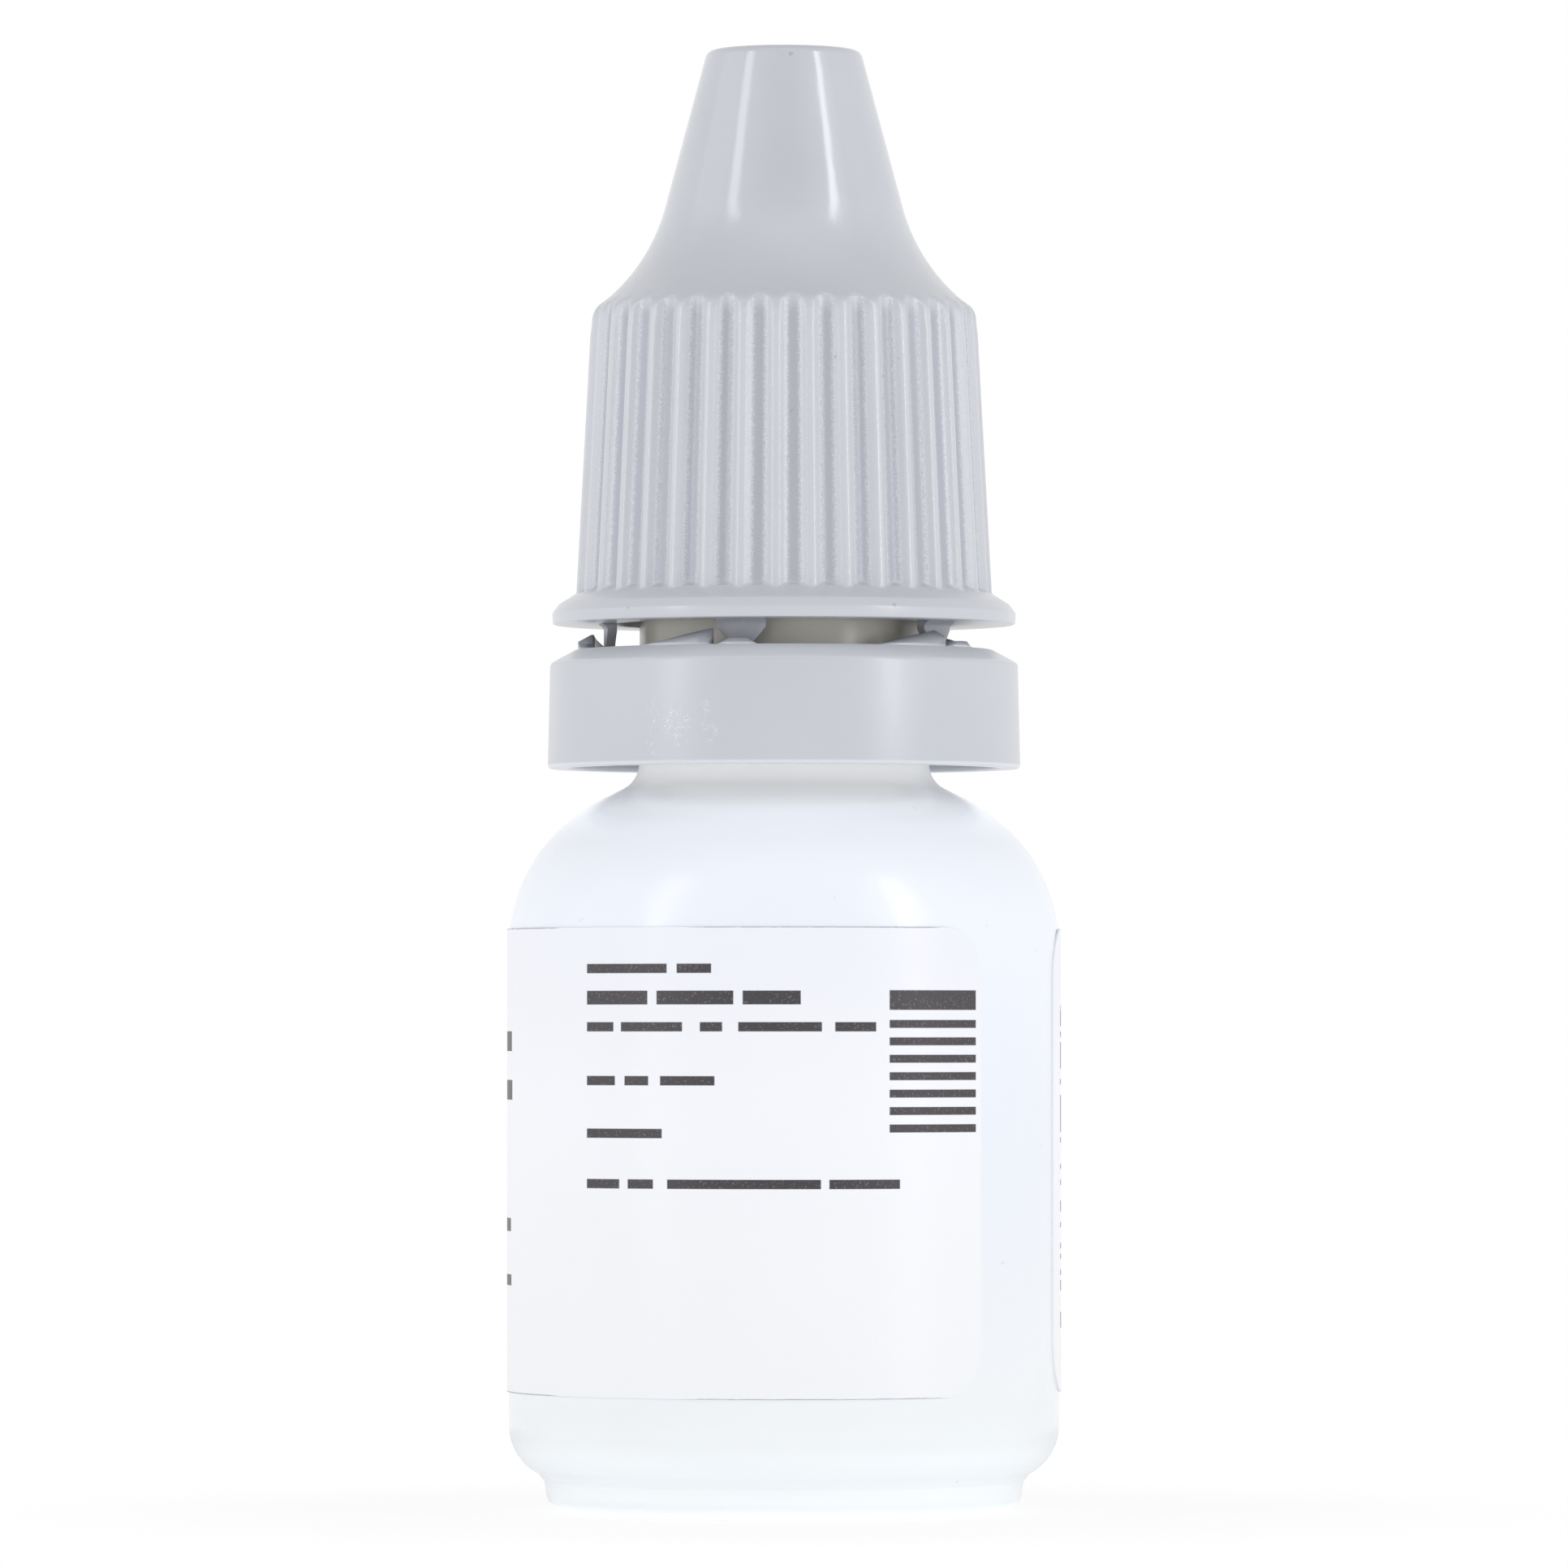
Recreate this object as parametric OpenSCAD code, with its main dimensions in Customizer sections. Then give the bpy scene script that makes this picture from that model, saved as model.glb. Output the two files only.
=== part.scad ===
// Eye drop bottle: squeezable body, press-in dropper tip, ribbed screw cap with a
// tamper ring held by break-off bridges, and a wrap-round label.
// Origin: centre of the foot on the table. +Z is up, -Y is the front.

/* [Body] */
// Diameter of the body
body_d = 25; // [24.6:0.1:26]
// Wall of the body and shoulder
wall = 0.9; // [0.7:0.05:1]
// Height where the straight side turns into the shoulder
shoulder_z = 25.73; // [25:0.05:26]
// Height of the shoulder's curve
shoulder_h = 7.61; // [7.3:0.05:7.7]

/* [Neck] */
// Diameter of the neck
neck_d = 13.14; // [13:0.02:13.2]
// Bore of the neck, which holds the dropper tip
bore_d = 10.8; // [10.6:0.1:11]
// Height of the mouth
mouth_z = 51; // [50.8:0.1:51.1]
// Rise of the screw thread in one turn
lead = 3; // [2.9:0.05:3.1]
// Outside diameter of the neck's thread
thread_d = 14.9; // [14.7:0.1:14.9]

/* [Dropper] */
// Height of the nozzle's tip
tip_z = 62.6; // [61.6:0.1:62.6]
// Diameter of the nozzle at its tip
tip_d = 4.6; // [4.2:0.1:4.6]
// Diameter of the metering hole
orifice_d = 0.6; // [0.4:0.05:0.8]

/* [Cap] */
// Overall height of the closed bottle
total_h = 66.58; // [66:0.02:67]
// Height of the cap's lower edge
cap_z = 40.35; // [40.2:0.05:40.5]
// Diameter of the flange at the foot of the cap
flange_d = 21.08; // [20.8:0.02:21.2]
// Diameter of the ribbed skirt just above the flange
skirt_d = 18.94; // [18.7:0.02:19]
// Number of grip ribs
rib_count = 36; // [30:1:38]
// Depth of the grooves between the ribs
groove_depth = 0.36; // [0.25:0.01:0.4]

/* [Tamper ring] */
// Height of the ring's lower edge
ring_z = 33.79; // [33.6:0.05:34]
// Height of the ring's top face
ring_top_z = 39.18; // [39:0.05:39.3]
// Diameter of the ring
ring_d = 21.4; // [21.2:0.1:21.6]
// Number of bridges, of teeth and of stops
bridge_count = 5; // [4:1:6]

/* [Label] */
// Thickness of the label
label_t = 0.09; // [0.06:0.01:0.12]
// Height of the label's lower edge
label_z = 5.5; // [5:0.1:6]
// Height of the label
label_h = 21; // [20:0.1:21.2]
// Radius of the label's corners
label_corner = 2.2; // [1:0.1:3]

/* [Hidden] */
$fn = 96;

// An angle seen from the front, 0 towards the viewer and positive to the right,
// is turned into a turn about Z by adding this.
front = -90;
label_left = 75.4;
label_right = 44.5;
// The round corners are cut a hair large, so that their arcs cross the label's edges.
corner_over = 1.01;

body_r = body_d / 2;
neck_r = neck_d / 2;
bore_r = bore_d / 2;

// Shoulder: a quarter ellipse, cut off where it meets the fillet of the neck.
shoulder_w = 8.16;
shoulder_end = 71.3;

// Foot and base corner.
foot_r = 9.78;
foot_round = 1.05;
corner_r = 2.45;
corner_z = 3.95;
punt = 0.9;
floor_z = punt + wall;

// Bead on the neck that keeps the ring down, and the catch under it in the ring.
bead_r = 7.35;
bead_low = 36.9;
bead_high = 38.2;
catch_r = 6.95;
catch_low = 35.5;
catch_high = 36.6;
sleeve_r = 7.65;

// Thread: a ridge that narrows towards its crest, on the neck and in the cap.
thread_r = thread_d / 2;
ridge_root = 1.3;
ridge_crest = 0.7;
neck_thread_z = 43.6;
neck_turns = 1.5;
cap_thread_below = 1.15;
cap_turns = 1.5;
cap_crest_r = 6.9;
cap_bore_r = 7.7;
thread_steps = 30;
run_out = 5;
embed = 0.15;

// Dropper tip.
plug_z = 43.5;
plug_r = bore_r - 0.05;
plug_bead_r = bore_r + 0.05;
plug_wall = 1;
rim_flange_r = 6.2;
rim_flange_h = 0.8;
nozzle_foot_r = 4.7;
tip_round = 0.5;
tip_mouth_r = 0.9;
tip_mouth_h = 1.5;
metering_h = 0.8;

// Cap.
skirt_slope = 0.0536;
flange_r = flange_d / 2;
flange_slope = 0.625;
flange_edge_z = 41.1;
shoulder_corner = 1;
nose_foot_r = 5.436;
nose_foot_z = 59.3;
nose_slope = 15;
hollow_r = 8.2;
hollow_end = 230;
top_round = 0.4;
crown = 0.06;
cap_wall = 1;
seat_z = 51.85;
seat_in = 5.7;
pin_r = 0.75;
pin_z = 61.3;
groove_r = 0.81;

// Ring.
ring_r = ring_d / 2;
ring_wall = 0.95;
ring_web = 1;
ring_top_r = 9.45;
ring_edge_z = 38.48;
sleeve_wall = 0.85;

// Bridges, and the teeth and stops beside them.
pitch = 360 / bridge_count;
bridge_at = -13.6;
bridge_span = 16;
bridge_r = 7.75;
bridge_t = 0.45;
bridge_flare = 0.25;
tooth_at = -21.3;
tooth_span = 22;
tooth_low = 0.4;
tooth_high = 0.72;
tooth_in = 8.68;
tooth_out = 9.4;
stop_h = 0.26;
stop_in = 8.75;
stop_out = 9.4;

// Points along an arc or an ellipse, from one angle to another.
function arc(cx, cz, rx, rz, from, to, n) =
    [for (i = [0:n]) let (a = from + (to - from) * i / n) [cx + rx * cos(a), cz + rz * sin(a)]];

function skirt_r(z) = skirt_d / 2 - (z - 41.88) * skirt_slope;

function nose_r(z) = nose_foot_r - (z - nose_foot_z) * tan(nose_slope);

// Faces of a tube of rings, each with the same number of points, closed at both ends.
function band_faces(rings, points) =
    [
        for (i = [0:rings - 2], j = [0:points - 1], half = [0, 1])
            let (a = i * points + j, b = i * points + (j + 1) % points)
            half == 0 ? [a, b, a + points] : [b, b + points, a + points]
    ];

function end_faces(rings, points) =
    [
        for (j = [1:points - 2], far = [0, 1])
            let (s = (rings - 1) * points)
            far == 0 ? [0, j + 1, j] : [s, s + j, s + j + 1]
    ];

// A solid swept about Z. Each station is [angle, [[r, z], ...]], with the section's
// points running anticlockwise when r points right and z up.
module swept(stations) {
    rings = len(stations);
    points = len(stations[0][1]);
    polyhedron(
        points = [for (s = stations, p = s[1]) [p[0] * cos(s[0]), p[0] * sin(s[0]), p[1]]],
        faces = concat(band_faces(rings, points), end_faces(rings, points))
    );
}

// A right-hand helical ridge. grow is +1 for a ridge on a shaft and -1 for one in a bore.
module helical_ridge(root_r, crest_r, grow, start_z, start_a, turns) {
    n = round(turns * thread_steps);
    swept([
        for (i = [0:n])
            let (
                full = min(1, (i + 0.6) / run_out, (n - i + 0.6) / run_out),
                z = start_z + lead * i / thread_steps,
                crest = root_r + (crest_r - root_r) * full,
                foot = root_r - grow * embed,
                half_root = ridge_root / 2 * (0.5 + 0.5 * full),
                half_crest = ridge_crest / 2 * (0.5 + 0.5 * full),
                section = [
                    [foot, z - half_root],
                    [crest, z - half_crest],
                    [crest, z + half_crest],
                    [foot, z + half_root]
                ]
            )
            [start_a + 360 * i / thread_steps, grow > 0 ? section : [for (k = [3:-1:0]) section[k]]]
    ]);
}

module bottle_outside() {
    rotate_extrude()
        polygon(concat(
            [[0, punt], [foot_r - 1.6, 0.35], [foot_r - 0.6, 0]],
            arc(foot_r, foot_round, foot_round, foot_round, -90, 0, 7),
            [[10.9, 1.42]],
            arc(body_r - corner_r, corner_z, corner_r, corner_r, -63, 0, 7),
            arc(body_r - shoulder_w, shoulder_z, shoulder_w, shoulder_h, 0, shoulder_end, 12),
            [
                [neck_r + 0.12, 33.28],
                [neck_r, 33.6],
                [neck_r, bead_low],
                [bead_r, bead_low],
                [bead_r, bead_low + 0.5],
                [neck_r, bead_high],
                [neck_r, mouth_z],
                [0, mouth_z]
            ]
        ));
}

module bottle_inside() {
    inner = body_r - wall;
    rotate_extrude()
        polygon(concat(
            [[0, floor_z], [foot_r - 1, floor_z]],
            arc(inner - corner_r, corner_z + 0.4, corner_r, corner_r, -60, 0, 5),
            arc(inner - 6.1, shoulder_z, 6.1, 6.6, 0, 84, 10),
            [[bore_r, 33.2], [bore_r, mouth_z + 1], [0, mouth_z + 1]]
        ));
}

module bottle() {
    color([0.94, 0.96, 0.98])
        union() {
            difference() {
                bottle_outside();
                bottle_inside();
            }
            helical_ridge(neck_r, thread_r, 1, neck_thread_z, front, neck_turns);
        }
}

// The plug has two sealing beads that are pressed into the bore of the neck.
module dropper_tip() {
    flange_top = mouth_z + rim_flange_h;
    throat_z = tip_z - tip_mouth_h - metering_h;
    tip_r = tip_d / 2;
    color([0.93, 0.94, 0.93])
        difference() {
            rotate_extrude()
                polygon(concat(
                    [
                        [0, plug_z],
                        [plug_r - 0.4, plug_z],
                        [plug_r, plug_z + 0.6],
                        [plug_r, 45.2],
                        [plug_bead_r, 45.5],
                        [plug_r, 45.8],
                        [plug_r, 48.7],
                        [plug_bead_r, 49],
                        [plug_r, 49.3],
                        [plug_r, mouth_z],
                        [rim_flange_r, mouth_z],
                        [rim_flange_r, flange_top - 0.2],
                        [rim_flange_r - 0.2, flange_top],
                        [nozzle_foot_r + 0.2, flange_top],
                        [nozzle_foot_r, flange_top + 0.3]
                    ],
                    arc(tip_r - tip_round, tip_z - tip_round, tip_round, tip_round, 10, 90, 5),
                    [[0, tip_z]]
                ));
            rotate_extrude()
                polygon([
                    [0, plug_z - 1],
                    [plug_r - plug_wall, plug_z - 1],
                    [plug_r - plug_wall, mouth_z],
                    [nozzle_foot_r - plug_wall, flange_top + 0.5],
                    [orifice_d / 2 + 0.9, throat_z - 0.6],
                    [orifice_d / 2, throat_z],
                    [0, throat_z]
                ]);
            translate([0, 0, throat_z - 0.1])
                cylinder(r = orifice_d / 2, h = metering_h + 0.2);
            translate([0, 0, tip_z - tip_mouth_h])
                cylinder(r = tip_mouth_r, h = tip_mouth_h + 1);
        }
}

// What is cut off one corner of the label, for a corner at angle 0: side is +1 for the
// end that lies anticlockwise, and up is +1 for the top.
module label_corner_cut(side, up) {
    r = label_corner;
    difference() {
        translate([body_r - 1, side > 0 ? -r : -0.1, up > 0 ? -r : -0.1])
            cube([2, r + 0.1, r + 0.1]);
        translate([body_r - 2, -side * r, -up * r])
            rotate([0, 90, 0])
                cylinder(r = r * corner_over, h = 4);
    }
}

// The label starts right of the bare strip and runs round the back to its left.
module label() {
    from = front + label_left;
    to = front + label_right + 360;
    color([0.95, 0.96, 0.98])
        difference() {
            rotate([0, 0, from])
                rotate_extrude(angle = to - from)
                    translate([body_r, label_z])
                        square([label_t, label_h]);
            for (up = [-1, 1])
                translate([0, 0, up > 0 ? label_z + label_h : label_z]) {
                    rotate([0, 0, from])
                        label_corner_cut(-1, up);
                    rotate([0, 0, to])
                        label_corner_cut(1, up);
                }
        }
}

module ring_body() {
    side_in = ring_r - ring_wall;
    sleeve_out = sleeve_r + sleeve_wall;
    web_z = ring_top_z - ring_web;
    rotate_extrude()
        polygon([
            [sleeve_r, ring_top_z],
            [sleeve_r, catch_high],
            [catch_r, catch_high],
            [catch_r, catch_high - 0.4],
            [sleeve_r, catch_low],
            [sleeve_out, catch_low],
            [sleeve_out, web_z],
            [side_in - 0.1, web_z],
            [side_in + 0.05, ring_z],
            [ring_r, ring_z],
            [ring_r + 0.05, ring_z + 0.08],
            [ring_r - 0.06, ring_edge_z - 0.1],
            [ring_r - 0.12, ring_edge_z + 0.03],
            [ring_top_r + 0.08, ring_top_z - 0.04],
            [ring_top_r, ring_top_z]
        ]);
}

// Ramp that rises in the screwing direction and ends in an upright face.
module tooth() {
    steps = 4;
    swept([
        for (i = [0:steps])
            let (s = i / steps)
            [
                front + tooth_at - tooth_span * (1 - s),
                [
                    [tooth_in, ring_top_z - 0.2],
                    [tooth_out, ring_top_z - 0.2],
                    [tooth_out, ring_top_z + tooth_low * s + 0.01],
                    [tooth_in, ring_top_z + tooth_high * s + 0.01]
                ]
            ]
    ]);
}

// Low stop in front of each bridge, with sloping ends.
module stop_bump() {
    swept([
        for (s = [[-18.4, 0.01], [-15.3, stop_h], [-12.7, stop_h], [-10.1, stop_h], [-7.6, 0.01]])
            [
                front + s[0],
                [
                    [stop_in, ring_top_z - 0.2],
                    [stop_out, ring_top_z - 0.2],
                    [stop_out, ring_top_z + s[1]],
                    [stop_in, ring_top_z + s[1]]
                ]
            ]
    ]);
}

module tamper_ring() {
    color([0.80, 0.81, 0.84])
        union() {
            ring_body();
            for (k = [0:bridge_count - 1])
                rotate([0, 0, k * pitch]) {
                    tooth();
                    stop_bump();
                }
        }
}

// Thin tabs that snap when the cap is first turned, wider where they meet the cap.
module break_bridges() {
    color([0.78, 0.79, 0.81])
        for (k = [0:bridge_count - 1])
            rotate([0, 0, front + bridge_at - bridge_span / 2 + k * pitch])
                rotate_extrude(angle = bridge_span)
                    polygon([
                        [bridge_r, ring_top_z],
                        [bridge_r + bridge_t, ring_top_z],
                        [bridge_r + bridge_t, cap_z - bridge_flare],
                        [bridge_r + bridge_t + bridge_flare, cap_z],
                        [bridge_r, cap_z]
                    ]);
}

module cap_outside() {
    hollow_x = nose_foot_r + hollow_r * cos(nose_slope);
    hollow_z = nose_foot_z + hollow_r * sin(nose_slope);
    nose_top = total_h - crown - top_round;
    rotate_extrude()
        polygon(concat(
            [[0, cap_z], [skirt_r(cap_z), cap_z]],
            arc(skirt_r(54.11) - shoulder_corner, 54.11, shoulder_corner, shoulder_corner, 3, 50, 5),
            arc(hollow_x, hollow_z, hollow_r, hollow_r, hollow_end, 180 + nose_slope, 8),
            arc(nose_r(nose_top) - top_round, nose_top, top_round, top_round, nose_slope, 84, 4),
            [[nose_r(nose_top) / 2, total_h - crown / 4], [0, total_h]]
        ));
}

// Long round cutters, leaning with the skirt, leave narrow ribs between them. They run
// out through the shoulder, so that each groove ends there in an arch.
module grip_grooves() {
    lean = atan(skirt_slope);
    for (k = [0:rib_count - 1])
        rotate([0, 0, front - 2.3 + (k + 0.5) * 360 / rib_count])
            translate([skirt_r(cap_z + 1) + groove_r - groove_depth, 0, cap_z + 1])
                rotate([0, -lean, 0])
                    cylinder(r = groove_r, h = 16);
}

module cap_flange() {
    low_r = flange_r - 0.06;
    rotate_extrude()
        polygon([
            [cap_bore_r + 0.2, cap_z],
            [low_r, cap_z],
            [flange_r, cap_z + 0.12],
            [flange_r, cap_z + 0.45],
            [flange_r - 0.08, flange_edge_z - 0.2],
            [flange_r - 0.3, flange_edge_z + 0.16],
            [8.6, flange_edge_z + 0.16 + (flange_r - 0.3 - 8.6) * flange_slope],
            [cap_bore_r + 0.2, 42.3]
        ]);
}

module cap_inside() {
    hollow_x = nose_foot_r + hollow_r * cos(nose_slope);
    hollow_z = nose_foot_z + hollow_r * sin(nose_slope);
    inner_top = total_h - 1.3;
    rotate_extrude()
        polygon(concat(
            [
                [0, cap_z - 1],
                [cap_bore_r, cap_z - 1],
                [cap_bore_r, seat_z],
                [seat_in, seat_z],
                [seat_in - 0.1, seat_z + 3.4]
            ],
            arc(hollow_x, hollow_z, hollow_r + cap_wall, hollow_r + cap_wall, 209, 180 + nose_slope, 4),
            [
                [nose_r(inner_top) - cap_wall - 0.2, inner_top],
                [0, inner_top]
            ]
        ));
}

module screw_cap() {
    color([0.80, 0.81, 0.84])
        union() {
            difference() {
                union() {
                    difference() {
                        cap_outside();
                        grip_grooves();
                    }
                    cap_flange();
                }
                cap_inside();
            }
            helical_ridge(
                cap_bore_r, cap_crest_r, -1,
                neck_thread_z - cap_thread_below - lead / 2, front - 180, cap_turns
            );
            translate([0, 0, pin_z + 0.3])
                cylinder(r = pin_r, h = total_h - 1 - pin_z - 0.3);
            translate([0, 0, pin_z])
                cylinder(r1 = pin_r - 0.25, r2 = pin_r, h = 0.3);
        }
}

bottle();
dropper_tip();
label();
tamper_ring();
break_bridges();
screw_cap();
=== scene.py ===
"""Looks of the eye drop bottle: body, label, dropper tip, tamper ring, bridges and cap.

Shapes are worked out in millimetres and become metres when a mesh is made. Angles are
seen from above: 0 is the front, -Y, and they grow towards +X, the viewer's right.
"""

import math

import bpy
import numpy as np
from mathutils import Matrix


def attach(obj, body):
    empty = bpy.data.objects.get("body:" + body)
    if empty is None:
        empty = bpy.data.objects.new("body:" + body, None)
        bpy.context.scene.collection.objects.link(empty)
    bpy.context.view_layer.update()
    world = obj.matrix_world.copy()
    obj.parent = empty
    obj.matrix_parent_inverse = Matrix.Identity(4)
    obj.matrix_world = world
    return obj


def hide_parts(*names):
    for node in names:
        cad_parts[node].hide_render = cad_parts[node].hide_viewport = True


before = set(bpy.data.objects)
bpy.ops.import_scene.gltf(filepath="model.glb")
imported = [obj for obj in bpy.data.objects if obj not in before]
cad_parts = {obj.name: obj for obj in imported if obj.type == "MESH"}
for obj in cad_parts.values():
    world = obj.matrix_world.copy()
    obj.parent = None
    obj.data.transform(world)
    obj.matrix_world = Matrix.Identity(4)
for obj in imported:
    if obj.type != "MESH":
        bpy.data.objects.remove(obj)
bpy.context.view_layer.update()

MM = 0.001

# Body of the bottle.
BODY_R = 12.5
WALL = 0.9
SHOULDER_Z = 25.73
SHOULDER_W = 8.16
SHOULDER_H = 7.61
SHOULDER_END = 62.0
INNER_SHOULDER_W = 6.1
INNER_SHOULDER_H = 6.6
FOOT_R = 9.78
FOOT_ROUND = 1.05
CORNER_R = 2.45
CORNER_Z = 3.95
PUNT = 0.9

# Neck and its thread, whose rows of points stand close together.
NECK_R = 6.57
BORE_R = 5.4
MOUTH_Z = 51.0
BEAD_R = 7.35
BEAD_LOW = 36.9
BEAD_HIGH = 38.2
LEAD = 3.0
THREAD_R = 7.45
THREAD_TURNS = 1.5
THREAD_FADE = 50.0
RIDGE_ROOT = 1.3
RIDGE_CREST = 0.7
NECK_THREAD_Z = 43.6
NECK_ROWS_LOW = 42.6
NECK_ROWS_HIGH = 49.4
NECK_ROW_STEP = 0.11

# Dropper tip.
PLUG_Z = 43.5
PLUG_BORE_R = 4.6
RIM_FLANGE_R = 6.2
RIM_FLANGE_T = 0.8
NOZZLE_FOOT_R = 4.7
TIP_Z = 62.6
TIP_R = 2.3
ORIFICE_R = 0.3

# Cap, from its flange over the leaning skirt and the hollow shoulder to the nose.
CAP_Z = 40.35
TOTAL_H = 66.58
FLANGE_R = 10.54
FLANGE_SLOPE = 0.625
FLANGE_EDGE_Z = 41.26
SKIRT_FOOT_R = 9.47
SKIRT_FOOT_Z = 41.88
SKIRT_TOP_Z = 54.11
SKIRT_SLOPE = 0.0536
SKIRT_EDGE_R = 1.0
HOLLOW_R = 8.2
NOSE_FOOT_R = 5.436
NOSE_FOOT_Z = 59.3
NOSE_LEAN = math.radians(15)
CROWN_Z = 65.2

# Inside of the cap.
CAP_BORE_R = 7.7
CAP_CREST_R = 6.9
CAP_THREAD_DROP = 1.15
CAP_ROWS_LOW = 40.6
CAP_ROWS_HIGH = 46.4
CAP_ROW_STEP = 0.3
SEAT_Z = 51.85
PIN_R = 0.75
PIN_Z = 61.3
PIN_FOOT_Z = 65.1

# Grip ribs. Columns of points stand at these shares of one rib's pitch. 0 is the rib's
# crest, and they crowd there.
RIBS = 36
RIB_TURN = -2.3
RIB_COLUMNS = np.array([-0.41, -0.31, -0.22, -0.155, -0.11, -0.075, -0.037, 0,
                        0.037, 0.075, 0.11, 0.155, 0.22, 0.31, 0.41, 0.5])
GROOVE_SHARE = 0.71
GROOVE_DEPTH = 0.36

# Tamper ring, its sleeve, and what stands on it in five equal sets.
RING_Z = 33.79
RING_TOP_Z = 39.18
RING_R = 10.7
SLEEVE_R = 7.65
SLEEVE_Z = 35.5
SETS = 5
PITCH = 360 / SETS
STAND_Z = 39.0
STAND_R = 9.4
TOOTH_R = 8.68
TOOTH_AT = -21.3
TOOTH_SPAN = 22.0
STOP_R = 8.75
STOP_AT = -13.0
BRIDGE_R = 7.75
BRIDGE_OUT_R = 8.2
BRIDGE_FLARE = 0.25
BRIDGE_AT = -13.6
BRIDGE_SPAN = 16.0

# Label: from the right of the bare strip round the back to its left.
LABEL_T = 0.09
LABEL_LOW = 5.5
LABEL_HIGH = 26.5
LABEL_FROM = 75.4
LABEL_TO = 404.5
LABEL_CORNER = 2.2

# A rounded corner takes at most this share of either side beside it, and its arc turns by
# at most so many degrees from point to point. A bend below LEAST_BEND, in radians, stays.
CORNER_SHARE = 0.48
ARC_STEP = 12
LEAST_BEND = 0.01

# A bevelled edge is one whose faces meet at more than this angle.
SHARP_EDGE = math.radians(40)


# Curves in the (r, z) plane.

def arc(centre_r, centre_z, radius_r, radius_z, start, end, count):
    """Points on an ellipse, from one angle to another in degrees."""
    turn = np.radians(np.linspace(start, end, count))
    return np.column_stack([centre_r + radius_r * np.cos(turn), centre_z + radius_z * np.sin(turn)])


def rounded(corners):
    """Points along a bent line given as (r, z, rounding radius) corners.

    Each rounded corner becomes an arc that touches both of its sides: it starts
    radius x tan(half the bend) before the corner and ends as far after it.
    """
    corners = np.asarray(corners, float)
    points = [corners[0, :2]]
    for before, here, after in zip(corners[:-2], corners[1:-1], corners[2:]):
        into = here[:2] - before[:2]
        out = after[:2] - here[:2]
        room = min(np.hypot(*into), np.hypot(*out)) * CORNER_SHARE
        into = into / np.hypot(*into)
        out = out / np.hypot(*out)
        bend = math.acos(np.clip(into @ out, -1, 1))
        if here[2] == 0 or bend < LEAST_BEND:
            points.append(here[:2])
            continue
        touch = min(here[2] * math.tan(bend / 2), room)
        radius = touch / math.tan(bend / 2)
        side = np.sign(into[0] * out[1] - into[1] * out[0])
        start = here[:2] - touch * into
        centre = start + radius * side * np.array([-into[1], into[0]])
        arm = start - centre
        count = max(3, math.ceil(math.degrees(bend) / ARC_STEP) + 1)
        for turn in np.linspace(0, side * bend, count):
            c, s = math.cos(turn), math.sin(turn)
            points.append(centre + np.array([c * arm[0] - s * arm[1], s * arm[0] + c * arm[1]]))
    points.append(corners[-1, :2])
    return np.array(points)


def finer(line, step, low, high):
    """Adds points, at most step apart, on the runs of a line that lie between two heights."""
    slack = 1e-6
    out = [line[:1]]
    for a, b in zip(line[:-1], line[1:]):
        inside = min(a[1], b[1]) >= low - slack and max(a[1], b[1]) <= high + slack
        count = max(1, math.ceil(np.hypot(*(b - a)) / step)) if inside else 1
        out.append(a + (b - a) * np.linspace(0, 1, count + 1)[1:, None])
    return np.concatenate(out)


def soft_max(a, b, blend):
    """The larger of two values, with the corner between them rounded over about blend."""
    return 0.5 * (a + b + np.sqrt((a - b) ** 2 + blend ** 2))


def soft_min(a, b, blend):
    """The smaller of two values, with the corner between them rounded over about blend."""
    return 0.5 * (a + b - np.sqrt((a - b) ** 2 + blend ** 2))


def smooth_step(value):
    """Rises from 0 to 1 as value goes from 0 to 1, level at both ends."""
    value = np.clip(value, 0, 1)
    return value * value * (3 - 2 * value)


# Surfaces.

def full_turn(count):
    """Evenly spaced angles once round, in degrees."""
    return np.arange(count) * 360 / count


def stood_up(radius, degrees, height):
    """Points in space from radius, angle and height: (r sin a, -r cos a, z)."""
    radius, turn, height = np.broadcast_arrays(radius, np.radians(degrees), height)
    return np.stack([radius * np.sin(turn), -radius * np.cos(turn), height], axis=-1)


def wrapped_quads(number):
    """Faces between a grid's rows of point numbers, with its last column next to its first."""
    beside = np.roll(number, -1, axis=1)
    return np.stack([number[:-1], beside[:-1], beside[1:], number[1:]], axis=2)


def around(radius, height, angles, closed):
    """Points and faces of a surface wrapped round Z.

    Row i and column j stand at the angle of column j, at radius[i, j] and height[i, j].
    A closed section joins its last row to its first. Otherwise the first and last rows
    shrink to one point each on the axis.
    """
    points = stood_up(radius, angles[None, :], height)
    rows, columns = points.shape[:2]
    number = np.arange(rows * columns).reshape(rows, columns)
    flat = points.reshape(-1, 3)
    if closed:
        return flat, wrapped_quads(np.vstack([number, number[:1]])).reshape(-1, 4).tolist()
    inner = wrapped_quads(number)[1:-1].reshape(-1, 4) - columns + 1
    first, last = number[1] - columns + 1, number[-2] - columns + 1
    top = (rows - 2) * columns + 1
    foot_fan = [[0, b, a] for a, b in zip(first, np.roll(first, -1))]
    top_fan = [[top, a, b] for a, b in zip(last, np.roll(last, -1))]
    body = flat[columns:-columns]
    points = np.vstack([flat[:1] * [0, 0, 1], body, flat[-1:] * [0, 0, 1]])
    return points, inner.tolist() + foot_fan + top_fan


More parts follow.
